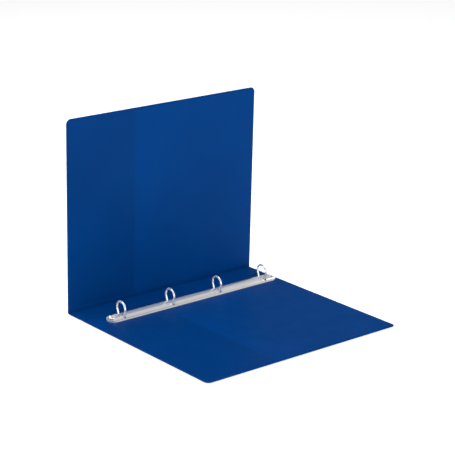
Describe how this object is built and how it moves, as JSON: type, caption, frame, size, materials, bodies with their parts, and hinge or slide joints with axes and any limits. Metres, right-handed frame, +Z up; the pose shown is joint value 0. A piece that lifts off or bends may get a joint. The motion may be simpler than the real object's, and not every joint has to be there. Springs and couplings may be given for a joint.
{
  "type": "ring binder",
  "caption": "Open presentation ring binder: two foil-covered board covers on a folding spine, clear outer pockets, inner pockets, and a riveted ring mechanism whose rings open.",
  "frame": {"origin": "centre of the bottom of the open binder's box, on the plane that it lies on", "axes": "+X from the spine to the back cover's open edge, +Y to the top of the binder, +Z up; the front cover stands up along +Z, leaning 2.1 degrees towards +X"},
  "size_m": [0.3042, 0.311, 0.2683],
  "materials": {
    "greyboard": "matt grey board",
    "blue_foil": "satin fine-grained soft plastic foil",
    "clear_film": "clear glossy film",
    "nickel_housing": "bright nickel-plated spring steel",
    "ring_wire": "bright nickel-plated wire",
    "rail_steel": "plated steel strip",
    "rivet_metal": "bright plated"
  },
  "bodies": {
    "back_cover": {"back_board": "greyboard", "back_outer_skin": "blue_foil", "back_inner_skin": "blue_foil", "back_clear_pocket": "clear_film", "back_inner_pocket": "blue_foil", "back_hinge_web": "blue_foil", "ring_housing": "nickel_housing", "rivet_bottom": "rivet_metal", "rivet_top": "rivet_metal"},
    "spine": {"spine_board": "greyboard", "spine_outer_skin": "blue_foil", "spine_inner_skin": "blue_foil", "spine_clear_pocket": "clear_film", "front_hinge_web": "blue_foil"},
    "front_cover": {"front_board": "greyboard", "front_outer_skin": "blue_foil", "front_inner_skin": "blue_foil", "front_clear_pocket": "clear_film", "front_inner_pocket": "blue_foil"},
    "edge_side_ring_rail": {"edge_side_rail": "rail_steel", "ring_1_edge_half": "ring_wire", "ring_2_edge_half": "ring_wire", "ring_3_edge_half": "ring_wire", "ring_4_edge_half": "ring_wire"},
    "spine_side_ring_rail": {"spine_side_rail": "rail_steel", "ring_1_spine_half": "ring_wire", "ring_2_spine_half": "ring_wire", "ring_3_spine_half": "ring_wire", "ring_4_spine_half": "ring_wire"}
  },
  "joints": [
    {"name": "spine_fold", "type": "hinge", "parent": "back_cover", "child": "spine", "pos_m": [-0.1149, 0, 0.0015], "axis": [0, 1, 0], "range_deg": [0, 90], "deforming": ["back_hinge_web"]},
    {"name": "front_fold", "type": "hinge", "parent": "spine", "child": "front_cover", "pos_m": [-0.1509, 0, 0.0015], "axis": [0, 1, 0], "range_deg": [-92.1, 0], "deforming": ["front_hinge_web"]},
    {"name": "edge_rail_tilt", "type": "hinge", "parent": "back_cover", "child": "edge_side_ring_rail", "pos_m": [-0.08345, 0.0092, 0.0043], "axis": [0, 1, 0], "range_deg": [0, 15]},
    {"name": "spine_rail_tilt", "type": "hinge", "parent": "back_cover", "child": "spine_side_ring_rail", "pos_m": [-0.09835, 0.0092, 0.0043], "axis": [0, 1, 0], "range_deg": [-15, 0]}
  ],
  "couplings": [
    {"joint": "spine_rail_tilt", "follows": "edge_rail_tilt", "ratio": -1}
  ]
}
